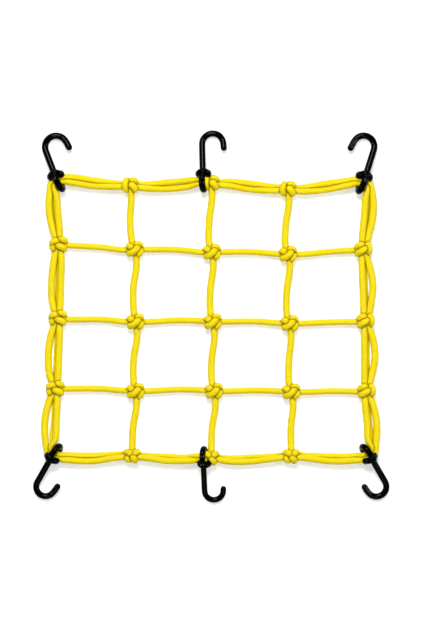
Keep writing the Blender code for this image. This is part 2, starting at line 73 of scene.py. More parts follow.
# Places of the knots, one row of the mesh to a line, from the top rim to the bottom rim
GRID = (
    # left            column 1         column 2        column 3        right
    ((-147.5, 129.8), (-77.8, 126.0), (-0.4, 128.3), (73.4, 122.4), (145.9, 128.4)),
    ((-146.3, 69.2), (-73.4, 64.6), (0.6, 61.8), (73.7, 59.9), (146.0, 64.2)),
    ((-147.1, -1.5), (-72.7, -5.0), (1.5, -5.0), (75.3, -6.6), (148.0, -4.6)),
    ((-149.5, -69.2), (-72.8, -71.5), (2.6, -71.5), (76.8, -72.1), (149.0, -71.9)),
    ((-151.3, -131.5), (-76.0, -133.2), (-0.5, -135.0), (76.8, -133.6), (151.5, -132.0)),
)
LAST = len(GRID) - 1

# How far a cord stands off the straight line between its knots, at the stations of each span,
# which are shares of its length
LINE_STATIONS = (0.15, 0.56, 0.87)
LINES = {
    # line:        span 0             span 1             span 2             span 3
    ("row", 1): ((0.0, 0.0, -1.1), (0.4, 1.2, -0.2), (0.6, 1.4, 0.1), (-0.7, 0.1, 0.2)),
    ("row", 2): ((-0.5, 0.8, -0.2), (0.0, 1.5, 0.8), (0.4, 1.3, 0.2), (-0.2, 0.2, 0.0)),
    ("row", 3): ((0.4, 1.3, 0.2), (0.1, 1.6, 0.9), (0.0, 1.1, 0.4), (-0.3, 0.6, 0.1)),
    ("column", 1): ((0.3, -2.6, -2.0), (1.5, -2.0, -1.4), (1.5, -1.9, -1.6), (1.6, -0.5, -0.3)),
    ("column", 2): ((1.0, -2.2, -2.3), (1.2, -2.1, -2.0), (1.4, -1.8, -1.7), (1.9, -0.1, 0.0)),
    ("column", 3): ((1.2, -2.1, -2.3), (1.4, -2.2, -2.3), (1.1, -1.6, -1.8), (1.7, -0.3, -0.2)),
}

# The same for the rim's two cords, outwards
RIM_STATIONS = (0.2, 0.5, 0.8)
RIM = {
    # side and cord:    span 0             span 1           span 2           span 3
    ("top", "outer"): ((4.8, 3.0, 1.4), (0.1, 1.0, 1.7), (2.7, 2.6, 1.1), (0.4, 2.3, 3.3)),
    ("top", "inner"): ((-0.5, -2.5, -2.1), (-3.5, -5.2, -4.0), (-1.2, -3.0, -2.7),
                       (-3.5, -3.5, -1.3)),
    ("right", "outer"): ((9.2, 9.2, 4.8), (5.3, 8.2, 5.2), (6.3, 8.8, 4.8), (5.6, 8.6, 7.4)),
    ("right", "inner"): ((2.4, 0.9, -0.9), (-1.8, -1.5, -1.4), (-1.3, -1.3, -1.8),
                         (-1.7, -0.7, 0.0)),
    ("bottom", "outer"): ((5.7, 6.3, 2.4), (1.8, 4.0, 3.2), (3.9, 4.6, 2.1), (2.5, 5.8, 5.6)),
    ("bottom", "inner"): ((1.1, 1.2, -0.3), (0.1, 0.2, 0.3), (1.4, 1.0, 0.4), (0.2, 1.5, 1.7)),
    ("left", "outer"): ((7.9, 8.5, 4.9), (4.4, 6.5, 5.5), (5.5, 8.2, 6.3), (5.9, 9.4, 8.2)),
    ("left", "inner"): ((1.4, 0.2, -1.1), (-2.7, -2.4, -2.0), (-2.1, -2.0, -2.0),
                        (-2.1, -1.7, -0.8)),
}
RIM_IN_KNOT = 1.2          # how far outwards and inwards the two rim cords lie in a knot
RIM_APART = 5.6            # between the middles of two rim cords that touch
ON_TOP = {"top": "inner", "bottom": "outer"}
INNER_LIFT = 1.6           # of the inner rim cord on the left and right side
OUTWARD = {"top": (0, 1, 0), "bottom": (0, -1, 0), "left": (-1, 0, 0), "right": (1, 0, 0)}
MIDDLE_SPAN = 1            # the span of the top and bottom rim that has a middle hook's eye

# The third cord of the left and right side, under the inner one
UNDER_SHIFT = 2.3          # how far outwards of it
UNDER_DROP = 4.3
UNDER_END = 0.45           # where it starts, as a share of the way from the inner cord to the eye
UNDER_TIP = 0.6            # share of its radius that it has at its ends
UNDER_TAPER = 6            # rings in which it gets as thin as that

# Lobes of cord on a knot, in cord diameters: how thick each is, and the places that it goes
# through, x to the right, y up and z towards a viewer above
KNOTS = {
    "mesh": (
        ("upper left", 1.06,
         ((-0.85, -0.05, -0.2), (-0.98, 0.55, 0.3), (-0.6, 0.35, 0.65), (-0.2, 0.0, 0.3))),
        ("upper right", 1.04,
         ((0.1, 0.5, 0.1), (0.45, 0.88, 0.4), (0.88, 0.82, 0.3), (0.95, 0.3, -0.1))),
        ("slant band", 1.12,
         ((-0.75, -0.75, -0.4), (-0.88, -0.68, 0.25), (-0.3, -0.42, 0.82), (0.3, 0.1, 0.85),
          (0.8, 0.55, 0.3))),
        ("lower right", 1.06,
         ((0.9, 0.15, 0.1), (0.97, -0.37, 0.38), (0.72, -0.78, 0.2), (0.4, -0.8, -0.2))),
    ),
    "top": (
        ("left band", 1.02,
         ((-0.3, 0.9, -0.2), (-0.6, 0.85, 0.4), (-0.82, 0.05, 0.75), (-0.75, -0.7, 0.45),
          (-0.4, -0.9, -0.1))),
        ("upper right", 1.0,
         ((0.05, 0.45, 0.2), (0.35, 0.88, 0.4), (0.8, 0.8, 0.3), (0.9, 0.3, -0.1))),
        ("lower right", 1.15,
         ((-0.05, 0.25, 0.3), (0.35, -0.05, 0.8), (0.8, -0.6, 0.55), (0.75, -0.9, -0.1))),
    ),
    "bottom": (
        ("upper left", 1.08,
         ((-0.8, 0.0, -0.2), (-0.85, 0.6, 0.3), (-0.35, 0.4, 0.7), (0.1, -0.1, 0.3))),
        ("upper right", 1.08,
         ((0.8, 0.1, -0.2), (0.86, 0.61, 0.28), (0.45, 0.35, 0.65), (0.0, -0.1, 0.3))),
        ("lower left", 1.05,
         ((-0.8, 0.0, 0.1), (-0.82, -0.5, 0.4), (-0.5, -0.75, 0.25), (-0.2, -0.75, -0.1))),
        ("lower right", 1.15,
         ((0.0, 0.1, 0.4), (0.22, -0.35, 0.8), (0.48, -0.74, 0.45), (0.4, -0.85, -0.2))),
    ),
    "left": (
        ("upper left", 1.14,
         ((-0.95, -0.2, 0.0), (-1.0, 0.35, 0.45), (-0.5, 0.6, 0.72), (0.1, 0.35, 0.7))),
        ("upper right", 1.04,
         ((-0.1, 0.55, 0.5), (0.45, 0.85, 0.6), (0.98, 0.72, 0.35), (1.0, 0.25, -0.1))),
        ("lower left", 1.12,
         ((-0.9, 0.12, 0.2), (-1.03, -0.4, 0.35), (-0.73, -0.82, -0.03))),
        ("lower right", 1.15,
         ((-0.4, 0.1, 0.4), (0.1, -0.22, 0.85), (0.82, -0.6, 0.62), (0.92, -0.88, -0.1))),
    ),
    "right": (
        ("upper left", 1.04,
         ((-1.0, 0.05, -0.1), (-0.98, 0.6, 0.35), (-0.45, 0.82, 0.65), (0.2, 0.7, 0.5))),
        ("right band", 1.14,
         ((0.2, 0.75, 0.4), (0.85, 0.75, 0.5), (0.98, 0.1, 0.55), (0.75, -0.72, 0.05))),
        ("slant band", 1.1,
         ((-0.85, -0.75, -0.3), (-0.95, -0.65, 0.3), (-0.4, -0.25, 0.85), (0.25, 0.15, 0.8),
          (0.7, 0.35, 0.5))),
    ),
}
BACK_LOBES = (
    ("back band", 1.05,
     ((-0.75, 0.5, 0.1), (-0.6, 0.45, -0.45), (0.0, 0.0, -0.75), (0.65, -0.5, -0.45),
      (0.8, -0.5, 0.1))),
    ("back left", 1.0,
     ((-0.7, -0.2, 0.1), (-0.65, -0.6, -0.4), (0.0, -0.45, -0.5))),
    ("back right", 1.0,
     ((0.7, 0.2, 0.1), (0.65, 0.6, -0.4), (0.0, 0.45, -0.5))),
)
LOBE_RADIUS = 0.5
LOBE_END = 0.65            # share of its radius that a lobe has at its ends
LOBE_TAPER = 0.22          # share of its length in which it gets as thin as that
CORE_HALF_LENGTH = 0.3825
CORE_RADIUS = 0.675

# Hooks: middle of the eye, the way that the shank points in degrees from +X, and the side of it
# that the mouth is on, 1 for its left
HOOK_PLACES = (
    # name               x       y       heading  mouth
    ("hook_top_left", -147.5, 129.8, 111.3, -1),
    ("hook_top_middle", -7.9, 129.6, 91.3, -1),
    ("hook_top_right", 145.9, 128.4, 72.1, 1),
    ("hook_bottom_left", -151.3, -131.5, -119.9, 1),
    ("hook_bottom_middle", -7.8, -135.3, -87.4, 1),
    ("hook_bottom_right", 151.5, -132.0, -59.6, -1),
)

# The wire's radius, the shank's length, the bow's radius, the length of its straight tip and the
# angle by which that opens, the angles by which the eye leans sideways and swings towards the
# mouth, and how far beyond its middle the eye turns back
Bends = namedtuple("Bends", "wire shank bow tip flare roll sway eye_end")
HOOK_BENDS = {
    # name                wire  shank  bow    tip  flare  roll  sway  eye end
    "hook_top_left": Bends(3.2, 31.7, 10.7, 6.4, 7.5, 10.0, 5.0, 2.6),
    "hook_top_middle": Bends(3.05, 36.1, 10.2, 4.7, 4.5, 12.0, 1.5, 1.8),
    "hook_top_right": Bends(3.15, 33.9, 10.25, 7.6, 11.0, 11.0, 5.5, 3.0),
    "hook_bottom_left": Bends(3.05, 31.6, 9.1, 6.9, 6.3, 16.0, 5.5, 3.2),
    "hook_bottom_middle": Bends(2.8, 32.2, 9.0, 1.9, 4.3, 13.0, 3.9, 2.6),
    "hook_bottom_right": Bends(3.05, 30.7, 9.6, 6.3, 4.6, 16.2, 5.5, 3.4),
}
SHANK_STRAIGHT = 2.0       # the shank is straight but for this much at either end
LYING_SHARE = 0.94         # height of the bow's middle line, as a share of the wire's radius
BOW_STEPS = 8
NECK = 8.2                 # where the eye ends and the shank starts, from the middle of the eye
WRAP_FROM = 4.2            # where the collar starts under the neck
WIRE_IN_WRAP = 0.5         # how far the eye's lower wire runs on into the collar
NEAR_EYE_ANGLES = (14.0, 40.0, 65.0, 90.0)
FAR_EYE_ANGLES = (90.0, 120.0, 150.0, 180.0, 210.0, 240.0, 270.0)

# One wrap of wire round the neck: u along the shank, v as a share of the collar's reach, w up
COLLAR = (
    # u     v     w
    (WRAP_FROM - NECK, 0.0, -EYE_RISE),
    (-1.2, 0.5, -5.0),
    (0.3, 1.0, -1.7),
    (-0.9, 1.0, 2.4),
    (0.7, 0.57, 4.7),
    (1.2, 0.0, 5.4),
    (0.7, -0.57, 4.7),
    (-0.9, -1.0, 2.4),
    (0.3, -1.0, -1.7),
    (-0.3, -0.5, -4.8),
)

# Radius of the wrapped wire, its reach on the mouth's side and on the far side, how far the collar
# sits up the shank, and how far it leans back on either side
Collar = namedtuple("Collar", "radius near far slip near_lean far_lean")
COLLARS = {
    # name                       radius near far   slip near lean, far lean
    "hook_top_left": Collar(3.4, 5.3, 4.5, -0.9, 1.7, 0.3),
    "hook_top_middle": Collar(3.3, 4.9, 3.7, 0.4, 0.4, 0.4),
    "hook_top_right": Collar(3.4, 5.8, 4.1, -0.6, 1.6, 0.4),
    "hook_bottom_left": Collar(3.0, 5.4, 4.4, -2.9, 0.6, 0.4),
    "hook_bottom_middle": Collar(3.0, 4.7, 3.0, -1.9, 0.1, 0.1),
    "hook_bottom_right": Collar(2.9, 6.1, 4.1, -3.5, 1.0, 0.3),
}
EYES = {name: Vector((x, y)) for name, x, y, *_ in HOOK_PLACES}
HEADINGS = {name: math.radians(heading) for name, x, y, heading, mouth in HOOK_PLACES}

# How finely the pieces are made
CORD_STEP = 1.6            # between two rings of a cord
LOBE_STEP = 0.8
WIRE_STEP = 0.8
AROUND = 20                # sides of a cord
WIRE_BEVEL = 7             # roundness of the wires before they are remeshed
CAP_ANGLES = (20.0, 42.0, 63.0, 80.0)
CAP_LENGTH = 0.6           # of a cord's rounded end, as a share of its radius
WIRE_TIP_ANGLE = 88.0      # of the last ring on a wire's round tip
SOFTEN_FACTOR = 0.5        # of the smoothing after wire and collar are melted together
SOFTEN_ROUNDS = 6
STEEP = 0.1                # a cord nearer than this to upright starts its frames from +X

# Small irregularities
UNEVEN = 0.02              # share of its radius by which a cord swells and thins
UNEVEN_LENGTH = 14.0       # of one swell
UNEVEN_APART = 7.3         # step in the noise from one cord to the next
# Painted shade between touching cords: how far out it reaches
CREASE_SHADE_REACH = 1.5         # how far from its neighbour a cord starts to darken

# The braid's look: colours, and noise scales in a metre
PATCH_COLOUR = (0.80, 0.68, 0.004)
FLECK_COLOUR = (0.80, 0.57, 0.002)
# Colour of the painted shade in the gaps between the braid's strands
WEAVE_GAP_SHADE_COLOUR = (0.60, 0.44, 0.002)
SHEEN_COLOUR = (1.0, 0.9, 0.3)
PATCH_SCALE = 90.0
FLECK_SCALE = 520.0
FUZZ_SCALE = 2600.0
PATCH_STRENGTH = 0.35
FLECK_CONTRAST = 2.2
# How strong the painted shade in the braid's gaps is
WEAVE_GAP_SHADE_STRENGTH = 0.3
STRAND_ROUNDNESS = 0.6
FIBRES = 8.0               # waves of fine fibre across a strand
FIBRE_RELIEF = 0.12        # their height, as a share of the strand's
# How sharply the painted shade between touching cords deepens towards where they touch
CREASE_SHADE_SHARPNESS = 1.6
CORD_ROUGHNESS = 0.42
FUZZ_ROUGHNESS = 0.2       # what the fuzz adds to it
CORD_SPECULAR = 0.2
SHEEN = 0.06
SHEEN_ROUGHNESS = 0.4

# The coat's look
CLOUD_SCALE = 260.0
SCUFF_SCALE = 900.0
WAVE_SCALE = 320.0
SCUFF_FROM = 0.62          # noise above this is a scuff
FADED_TIMES = 2.0          # a worn coat is so many times lighter, and then this much more
FADED_PLUS = 0.001
SCUFF_STRENGTH = 0.5
CLOUD_STRENGTH = 0.5
CLOUD_ROUGHNESS = 0.05
SCUFF_ROUGHNESS = 0.12
COAT_SPECULAR = 0.08
WAVE_STRENGTH = 0.15
WAVE_HEIGHT = 0.2 * MM

# Soft lights round the net, in metres. None hangs straight above it, where the wire would mirror
# it. A light's share is of the power of them all. A glint only shows in gloss.
LIGHT_DISTANCE = 3.2
LIGHTS = (
    # name          azimuth, elevation, size, share, glint only
    ("light top", 98.0, 60.0, 1.1, 0.74, False),
    ("light right", 2.0, 45.0, 0.4, 0.11, False),
    ("light bottom", 272.0, 52.0, 1.2, 0.15, False),
    ("glint left", 180.0, 42.0, 0.4, 0.35, True),
    ("glint right", 0.0, 32.0, 0.4, 0.35, True),
)
ROOM_LIGHT = 0.09
ROOM_COLOUR = (0.9, 0.9, 0.9, 1.0)

# Floor and camera, in metres
FLOOR_SIZE = 24.0
FLOOR_ROUGHNESS = 0.9
FLOOR_SPECULAR = 0.1
PICTURE_MIDDLE = (-0.00067, 0.00115, 0.007)     # what the camera looks straight down at
PICTURE_HEIGHT = 0.60576   # what the picture shows from top to bottom, at the cords' height
SENSOR = 36.0              # of the camera, in millimetres

# Sockets of a Mix node for its two colours and their mixture, which share names with other sockets
MIX_COLOURS = (6, 7)
MIXED_COLOUR = 2


class LuggageNetCord(bpy.types.PropertyGroup):
    """Sizes and colours of the elastic cord."""

    yellow: FloatVectorProperty(
        name="Cord colour", description="Colour of the braided sheath", subtype="COLOR",
        size=3, min=0.0, max=1.0, default=(0.93, 0.765, 0.002))
    # Colour of the painted shade deep between two cords that press on each other
    shade: FloatVectorProperty(
        name="Crease colour", description="Colour deep between two cords that press on each other",
        subtype="COLOR", size=3, min=0.0, max=1.0, default=(0.30, 0.19, 0.0))
    strands: IntProperty(
        name="Strands",
        description="Strands of the braid in each direction, counted round the cord",
        min=6, max=24, default=12)
    pitch: FloatProperty(
        name="Braid pitch", description="Length of cord that one diamond of the braid takes",
        subtype="DISTANCE", unit="LENGTH", min=0.0005, max=0.005, default=0.0017)
    relief: FloatProperty(
        name="Braid relief", description="Height of the braid's strands over the gaps between them",
        subtype="DISTANCE", unit="LENGTH", min=0.0, max=0.0005, default=0.00012)


class LuggageNetHook(bpy.types.PropertyGroup):
    """Sizes and colours of the wire hooks."""

    coat: FloatVectorProperty(
        name="Coat colour", description="Colour of the dipped plastic coat", subtype="COLOR",
        size=3, min=0.0, max=1.0, default=(0.0012, 0.0012, 0.0016))
    gloss: FloatProperty(
        name="Coat roughness", description="Roughness of the coat, low is glossy",
        subtype="FACTOR", min=0.02, max=1.0, default=0.05)
    grain: FloatProperty(
        name="Remesh size", description="Size of the cells that melt wire and collar into one coat",
        subtype="DISTANCE", unit="LENGTH", min=0.0002, max=0.001, default=0.0004)


class LuggageNetStage(bpy.types.PropertyGroup):
    """Floor, lights and camera."""

    floor: FloatVectorProperty(
        name="Floor colour", description="Colour of the plain floor", subtype="COLOR",
        size=3, min=0.0, max=1.0, default=(0.6, 0.6, 0.6))
    glow: FloatProperty(
        name="Floor glow",
        description="How much the floor shines by itself, which keeps shadows pale",
        min=0.0, max=2.0, default=0.43)
    light: FloatProperty(
        name="Light", description="Power of all the soft lights together",
        unit="POWER", min=0.0, max=1000.0, default=111.0)
    distance: FloatProperty(
        name="Camera height", description="Height of the camera over the net",
        subtype="DISTANCE", unit="LENGTH", min=0.5, max=10.0, default=3.0)


def deselect():
    """Nothing is selected or active, so that the next operator works on its own piece alone."""
    for thing in bpy.context.selected_objects:
        thing.select_set(False)
    bpy.context.view_layer.objects.active = None


def clamped(share):
    """The share, kept between 0 and 1."""
    return min(max(share, 0.0), 1.0)


def direction(angle):
    """The level direction at this angle from +X, in radians."""
    return Vector((math.cos(angle), math.sin(angle), 0.0))


def left_of(way):
    """The level direction at right angles to another one, on its left."""
    return Vector((-way.y, way.x, 0.0))


def through(points, step, closed=False):
    """A smooth line through the points, as places about one step apart."""
    count = len(points)
    spans = count if closed else count - 1
    chord = [(points[(i + 1) % count] - points[i % count]).length for i in range(spans)]

    def slope(i):
        before, after = (i - 1) % spans, i % spans
        if not closed and i == 0:
            return (points[1] - points[0]) / chord[0]
        if not closed and i == count - 1:
            return (points[-1] - points[-2]) / chord[-1]
        come = (points[i % count] - points[(i - 1) % count]) / chord[before]
        go = (points[(i + 1) % count] - points[i % count]) / chord[after]
        return (come * chord[after] + go * chord[before]) / (chord[before] + chord[after])

    line = []
    for i in range(spans):
        start, end = points[i % count], points[(i + 1) % count]
        leave, arrive = slope(i) * chord[i], slope((i + 1) % count if closed else i + 1) * chord[i]
        steps = max(2, round(chord[i] / step))
        for k in range(steps):
            t = k / steps
            line.append(start * (2 * t**3 - 3 * t**2 + 1) + leave * (t**3 - 2 * t**2 + t)
                        + end * (3 * t**2 - 2 * t**3) + arrive * (t**3 - t**2))
    return line if closed else line + [points[-1]]


def place_of(row, column):
    """The middle of a knot."""
    return Vector((*GRID[row][column], KNOT_HEIGHT))


def sag(share):
    """How much lower a cord hangs at this share of the way between two knots."""
    return 4.0 * SAG * share * (1.0 - share)


def line_route(kind, number):
    """Points of a single cord across the net, from rim knot to rim knot."""
    ends = [place_of(number, i) if kind == "row" else place_of(i, number) for i in range(LAST + 1)]
    route = [ends[0]]
    for start, end, offsets in zip(ends, ends[1:], LINES[kind, number]):
        aside = left_of((end - start).normalized())
        for t, offset in zip(LINE_STATIONS, offsets):
            route.append(start.lerp(end, t) + aside * offset + Vector((0.0, 0.0, -sag(t))))
        route.append(end)
    return route


def eye_points(name, cord):
    """Where a rim cord goes straight through a hook's eye, from left to right."""
    shank = direction(HEADINGS[name])
    across = left_of(shank) * math.copysign(1.0, -shank.y)
    outwards = EYE_SPREAD if cord == "outer" else -EYE_SPREAD
    middle = Vector((*EYES[name], EYE_HEIGHT)) + shank * outwards
    return [middle - across * EYE_STRAIGHT, middle, middle + across * EYE_STRAIGHT]


def rim_rise(side, cord, apart):
    """How much a rim cord stands over the middle of the rim, by how close its neighbour lies."""
    if cord == "under":
        return INNER_LIFT - UNDER_DROP
    if side in ("left", "right"):
        return INNER_LIFT if cord == "inner" else 0.0
    ride = math.sqrt(RIM_APART**2 - min(apart, RIM_APART) ** 2) / 2.0
    return ride if cord == ON_TOP[side] else -ride


def rim_side(side, cord):
    """Stations of a rim cord between two corners, from left to right or from top to bottom."""
    outward = Vector(OUTWARD[side])
    fixed = 0 if side in ("top", "left") else LAST
    level = side in ("top", "bottom")
    knots = [place_of(fixed, i) if level else place_of(i, fixed) for i in range(LAST + 1)]
    knots[0].z = knots[-1].z = EYE_HEIGHT
    in_knot = {"outer": RIM_IN_KNOT, "inner": -RIM_IN_KNOT, "under": 0.0}[cord]
    route = []
    for span in range(LAST):
        start, end = knots[span], knots[span + 1]
        at_eye = level and span == MIDDLE_SPAN
        if at_eye:
            eye = f"hook_{side}_middle"
            end = Vector((*EYES[eye], EYE_HEIGHT))
        aside = left_of((end - start).normalized())
        aside *= math.copysign(1.0, aside.dot(outward))
        outers, inners = RIM[side, "outer"][span], RIM[side, "inner"][span]
        for t, outer, inner in zip(RIM_STATIONS, outers, inners):
            offset = {"outer": outer, "inner": inner, "under": inner + UNDER_SHIFT}[cord]
            rise = rim_rise(side, cord, outer - inner) - sag(t)
            route.append(start.lerp(end, t) + aside * offset + Vector((0.0, 0.0, rise)))
        if at_eye:
            route += eye_points(eye, cord)
        if span < LAST - 1:
            route.append(knots[span + 1] + outward * in_knot)
    return route


def rim_route(cord):
    """The closed route of the outer or inner rim cord, clockwise from the top left corner."""
    return (
        eye_points("hook_top_left", cord) + rim_side("top", cord)
        + eye_points("hook_top_right", cord) + rim_side("right", cord)
        + eye_points("hook_bottom_right", cord)[::-1] + rim_side("bottom", cord)[::-1]
        + eye_points("hook_bottom_left", cord)[::-1] + rim_side("left", cord)[::-1]
    )


def rim_radii(cord, line):
    """Cord radii along the rim: thicker on the slack sides, squeezed at the eyes."""
    radii = []
    for point in line:
        # How far a place is past the knots of the left or right side, and short of the corners
        inside_x = abs(point.x) - (abs(GRID[1][0][0]) - KNOT_CORD)
        inside_y = (abs(GRID[0][1][1]) - KNOT_CORD) - abs(point.y)
        slack = clamped(min(inside_x, inside_y) / KNOT_CORD)
        radius = RIM_RADIUS[cord] * (1.0 + (SIDE_SWELL - 1.0) * slack)
        nearest = min((point.xy - eye).length for eye in EYES.values())
        free = clamped((nearest - EYE_STRAIGHT) / KNOT_CORD)
        radii.append(EYE_CORD_RADIUS + (radius - EYE_CORD_RADIUS) * free)
    return radii


def single_cords():
    """The rows and columns of single cord. A tube is its line, its radii and whether it closes."""
    tubes = []
    for kind, number in LINES:
        line = through(line_route(kind, number), CORD_STEP)
        tubes.append((line, [LINE_RADIUS[kind]] * len(line), False))
    return tubes


def rim_cords():
    """The two cords of the rim, and the third one under the inner one on the left and right."""
    tubes = []
    for cord in ("outer", "inner"):
        line = through(rim_route(cord), CORD_STEP, closed=True)
        tubes.append((line, rim_radii(cord, line), True))
    for side, column in (("left", 0), ("right", LAST)):
        inner = rim_side(side, "inner")
        first, last = (near.lerp(Vector((*GRID[row][column], EYE_HEIGHT)), UNDER_END)
                       for near, row in ((inner[0], 0), (inner[-1], LAST)))
        line = through([first] + rim_side(side, "under") + [last], CORD_STEP)
        radii = [RIM_RADIUS["under"]] * len(line)
        for i in range(UNDER_TAPER):
            share = UNDER_TIP + (1.0 - UNDER_TIP) * i / UNDER_TAPER
            radii[i] = radii[-1 - i] = RIM_RADIUS["under"] * share
        tubes.append((line, radii, False))
    return tubes


def knot_kinds():
    """The row, column and kind of every knot; the four corners have none."""
    for row in range(LAST + 1):
        for column in range(LAST + 1):
            edge = "top" if row == 0 else "bottom" if row == LAST else None
            side = "left" if column == 0 else "right" if column == LAST else None
            if not (edge and side):
                yield row, column, edge or side or "mesh"


def knot_lobes():
    """The lobes of cord that cross over the front and the back of every knot."""
    tubes = []
    for row, column, kind in knot_kinds():
        middle = place_of(row, column)
        for _, thickness, points in KNOTS[kind] + BACK_LOBES:
            line = through([middle + Vector(point) * KNOT_CORD for point in points], LOBE_STEP)
            full = LOBE_RADIUS * KNOT_CORD * thickness
            last = len(line) - 1
            radii = []
            for i in range(len(line)):
                grown = min(i, last - i) / (LOBE_TAPER * last)
                radii.append(full * min(1.0, LOBE_END + (1.0 - LOBE_END) * grown))
            tubes.append((line, radii, False))
    return tubes


def knot_cores():
    """A short thick tube in the middle of each knot, so that no gap shows between its lobes."""
    tubes = []
    half = Vector((CORE_HALF_LENGTH * KNOT_CORD, 0.0, 0.0))
    for row, column, _ in knot_kinds():
        middle = place_of(row, column)
        line = through([middle - half, middle, middle + half], LOBE_STEP)
        tubes.append((line, [CORE_RADIUS * KNOT_CORD] * len(line), False))
    return tubes


def hook_wire(name):
    """The wire in the hook's frame, from the tip: u along the shank, v towards the mouth, w up."""
    bends = HOOK_BENDS[name]
    lying = bends.wire * LYING_SHARE - EYE_HEIGHT
    neck_end = EYE_SPREAD + EYE_RISE + bends.wire
    flat_from = bends.shank + bends.bow / 2.0

    def lowered(u, v):
        return Vector((u, v, lying * clamped((u - neck_end) / (flat_from - neck_end))))

    def on_bow(angle):
        return bends.shank + bends.bow * math.sin(angle), bends.bow * (1.0 - math.cos(angle))

    def on_eye(middle, degrees):
        angle = math.radians(degrees)
        u, w = middle + EYE_RISE * math.cos(angle), EYE_RISE * math.sin(angle)
        return swayed(Vector((u, -w * math.tan(math.radians(bends.roll)), w)), bends.sway)

    end = math.radians(180.0 - bends.flare)
    tip = Vector(on_bow(end)) + Vector((math.cos(end), math.sin(end))) * bends.tip
    places = [lowered(*tip)]
    for step in range(BOW_STEPS + 1):
        places.append(lowered(*on_bow(end * (1.0 - step / BOW_STEPS))))
    for u in (bends.shank - SHANK_STRAIGHT, neck_end + SHANK_STRAIGHT, neck_end):
        places.append(lowered(u, 0.0))
    places += [on_eye(EYE_SPREAD, degrees) for degrees in NEAR_EYE_ANGLES]
    places += [on_eye(-bends.eye_end, degrees) for degrees in FAR_EYE_ANGLES]
    places += [on_eye(middle, 270.0) for middle in (EYE_SPREAD, WRAP_FROM + WIRE_IN_WRAP)]
    return places


def swayed(point, sway):
    """A place of the eye after its end has swung towards the mouth about the neck."""
    angle = math.radians(sway) * clamped((NECK - point.x) / EYE_RISE)
    from_neck = Vector((point.x - NECK, point.y))
    u = NECK + from_neck.x * math.cos(angle) + from_neck.y * math.sin(angle)
    v = from_neck.y * math.cos(angle) - from_neck.x * math.sin(angle)
    return Vector((u, v, point.z))


def collar_wire(name):
    """The wrapped end in the hook's frame. It starts in the eye's lower wire."""
    bends, collar = HOOK_BENDS[name], COLLARS[name]
    lower_wire = EYE_RISE * math.tan(math.radians(bends.roll))
    shifts = [lower_wire, lower_wire / 2.0] + [0.0] * (len(COLLAR) - 2)
    slips = [0.0] + [collar.slip] * (len(COLLAR) - 1)
    places = []
    for (u, v, w), shift, slip in zip(COLLAR, shifts, slips):
        near_side = v > 0.0
        reach = collar.near if near_side else collar.far
        lean = collar.near_lean if near_side else collar.far_lean
        along = NECK + u + slip - lean * abs(v)
        places.append(swayed(Vector((along, v * reach + shift, w)), bends.sway))
    return places


def hook_tubes(name, x, y, heading, mouth):
    """A hook's wire and its collar as tubes, in the frame of the net."""
    ahead = direction(math.radians(heading))
    aside = left_of(ahead) * mouth
    eye = Vector((x, y, EYE_HEIGHT))

    def placed(point):
        return eye + ahead * point.x + aside * point.y + Vector((0.0, 0.0, point.z))

    wire, wrap = HOOK_BENDS[name].wire, COLLARS[name].radius
    line = through([placed(point) for point in hook_wire(name)], WIRE_STEP)
    collar = through([placed(point) for point in collar_wire(name)], WIRE_STEP)
    wraps = [wire + (wrap - wire) * min(i * WIRE_STEP / NECK, 1.0) for i in range(len(collar))]
    return (line, [wire] * len(line), False), (collar, wraps, False)


def spine_tree(tubes):
    """A search tree of the tubes' middle lines, with each place's radius and number of its tube."""
    places = [(point, radius, number) for number, (line, radii, _) in enumerate(tubes)
              for point, radius in zip(line, radii)]
    tree = kdtree.KDTree(len(places))
    for i, place in enumerate(places):
        tree.insert(place[0], i)
    tree.balance()
    return tree, [(radius, number) for _, radius, number in places]


def turning_frames(line, closed):
    """Two directions across the line at each of its points, which don't twist about it."""
    count = len(line)
    if closed:
        ways = [(line[(i + 1) % count] - line[i - 1]).normalized() for i in range(count)]
    else:
        ways = [(line[min(i + 1, count - 1)] - line[max(i - 1, 0)]).normalized()
                for i in range(count)]
    side = ways[0].cross(Vector((0.0, 0.0, 1.0)))
    if side.length < STEEP:
        side = ways[0].cross(Vector((1.0, 0.0, 0.0)))
    sides = []
    for way in ways:
        side = (side - way * side.dot(way)).normalized()
        sides.append(side)
    if closed:
        back = (sides[-1] - ways[0] * sides[-1].dot(ways[0])).normalized()
        twist = math.atan2(back.cross(sides[0]).dot(ways[0]), back.dot(sides[0]))
    else:
        twist = 0.0
    frames = []
    for i, (way, side) in enumerate(zip(ways, sides)):
        angle = twist * i / count
        up = way.cross(side)
        frames.append((side * math.cos(angle) + up * math.sin(angle),
                       up * math.cos(angle) - side * math.sin(angle)))
    return frames


def cap(end, inner, radius, length, angles):
    """Places and radii of the rings that round a tube off beyond its end, from the end outwards."""
    way = (end - inner).normalized()
    return [(end + way * radius * length * math.sin(a), radius * math.cos(a))
            for a in map(math.radians, angles)]


def with_caps(line, radii):
    """An open tube's line and radii with a few rings more at either end, which round it off."""
    head = cap(line[0], line[1], radii[0], CAP_LENGTH, CAP_ANGLES)
    tail = cap(line[-1], line[-2], radii[-1], CAP_LENGTH, CAP_ANGLES)
    rings = head[::-1] + list(zip(line, radii)) + tail
    return [point for point, radius in rings], [radius for point, radius in rings]


def cord_skin(line, radii, closed, number, lengths):
    """The places round a cord, ring by ring; its radius swells and thins a little."""
    skin = []
    frames = turning_frames(line, closed)
    for point, radius, (side, up), length in zip(line, radii, frames, lengths):
        where = Vector((length / UNEVEN_LENGTH, number * UNEVEN_APART, 0.0))
        wave = 1.0 + UNEVEN * noise.noise(where)
        for k in range(AROUND):
            angle = math.tau * k / AROUND
            skin.append(point + (side * math.cos(angle) + up * math.sin(angle)) * radius * wave)
    return skin


